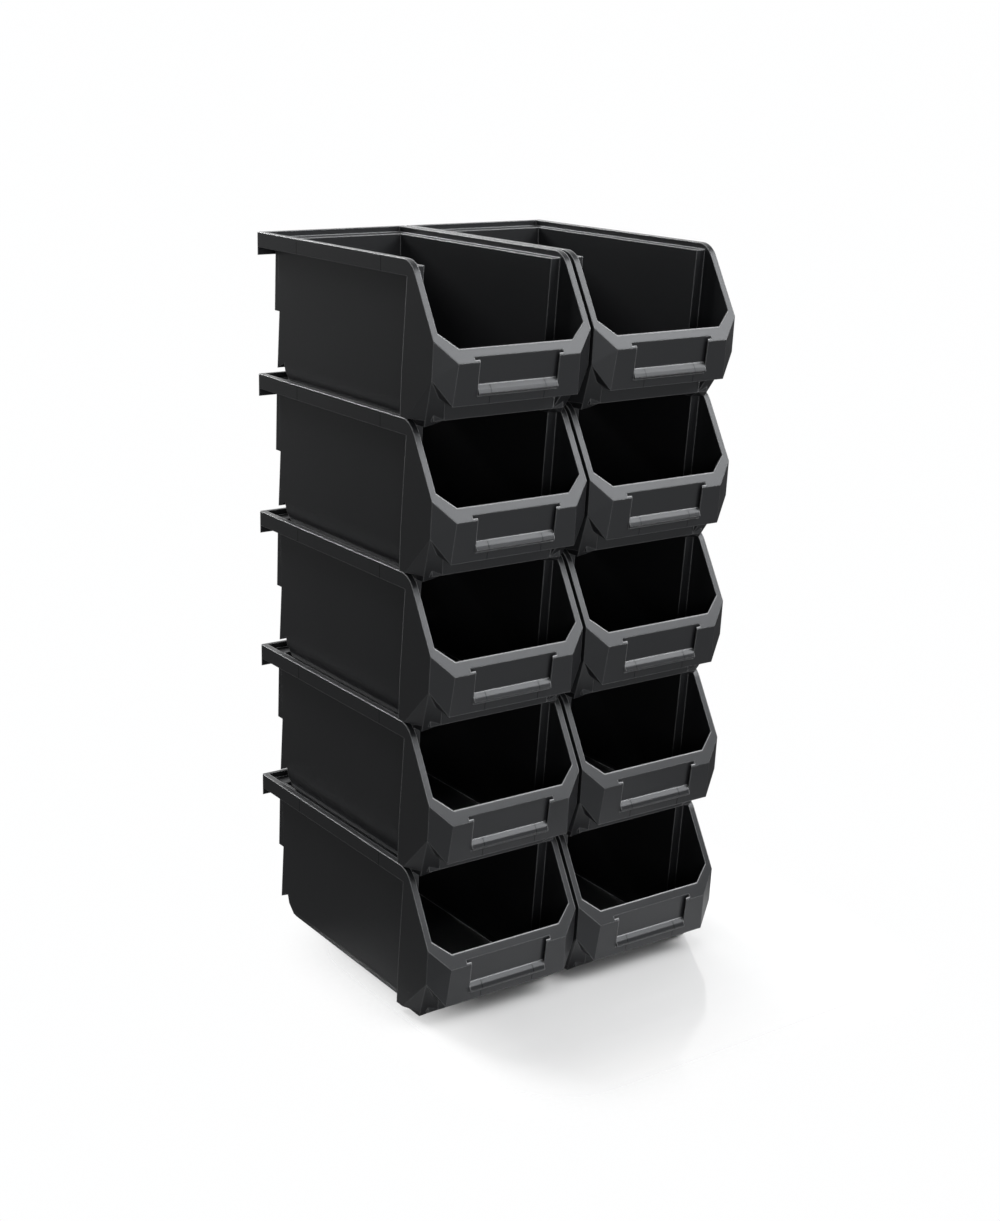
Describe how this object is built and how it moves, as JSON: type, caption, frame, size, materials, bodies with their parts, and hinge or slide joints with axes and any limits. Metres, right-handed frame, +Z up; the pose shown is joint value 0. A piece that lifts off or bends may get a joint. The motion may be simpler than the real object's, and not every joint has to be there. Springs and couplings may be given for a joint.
{
  "type": "stack of open front storage bins",
  "caption": "Two columns of open front bins with sloping mouths, label slots and hanging lips, stacked on ledges inside their rims.",
  "frame": {"origin": "centre of the bounding box in plan, on the surface that the two lowest bins stand on", "axes": "+Z up, the open fronts face -Y, +X to the right as seen from the front"},
  "size_m": [0.2834, 0.2792, 0.59],
  "materials": {
    "bin_plastic": "satin moulded polypropylene with a fine grain, very dark grey"
  },
  "bodies": {
    "bin_left_1": {"bin_left_1": "bin_plastic"},
    "bin_left_2": {"bin_left_2": "bin_plastic"},
    "bin_left_3": {"bin_left_3": "bin_plastic"},
    "bin_left_4": {"bin_left_4": "bin_plastic"},
    "bin_left_5": {"bin_left_5": "bin_plastic"},
    "bin_right_1": {"bin_right_1": "bin_plastic"},
    "bin_right_2": {"bin_right_2": "bin_plastic"},
    "bin_right_3": {"bin_right_3": "bin_plastic"},
    "bin_right_4": {"bin_right_4": "bin_plastic"},
    "bin_right_5": {"bin_right_5": "bin_plastic"}
  },
  "joints": [
    {"name": "lift_left_2", "type": "slide", "parent": "bin_left_1", "child": "bin_left_2", "axis": [0, 0, 1], "range_m": [0, 0.025]},
    {"name": "lift_left_3", "type": "slide", "parent": "bin_left_2", "child": "bin_left_3", "axis": [0, 0, 1], "range_m": [0, 0.025]},
    {"name": "lift_left_4", "type": "slide", "parent": "bin_left_3", "child": "bin_left_4", "axis": [0, 0, 1], "range_m": [0, 0.025]},
    {"name": "lift_left_5", "type": "slide", "parent": "bin_left_4", "child": "bin_left_5", "axis": [0, 0, 1], "range_m": [0, 0.025]},
    {"name": "lift_right_2", "type": "slide", "parent": "bin_right_1", "child": "bin_right_2", "axis": [0, 0, 1], "range_m": [0, 0.025]},
    {"name": "lift_right_3", "type": "slide", "parent": "bin_right_2", "child": "bin_right_3", "axis": [0, 0, 1], "range_m": [0, 0.025]},
    {"name": "lift_right_4", "type": "slide", "parent": "bin_right_3", "child": "bin_right_4", "axis": [0, 0, 1], "range_m": [0, 0.025]},
    {"name": "lift_right_5", "type": "slide", "parent": "bin_right_4", "child": "bin_right_5", "axis": [0, 0, 1], "range_m": [0, 0.025]},
    {"name": "part_columns", "type": "slide", "parent": "bin_left_1", "child": "bin_right_1", "axis": [1, 0, 0], "range_m": [0, 0.05]}
  ]
}
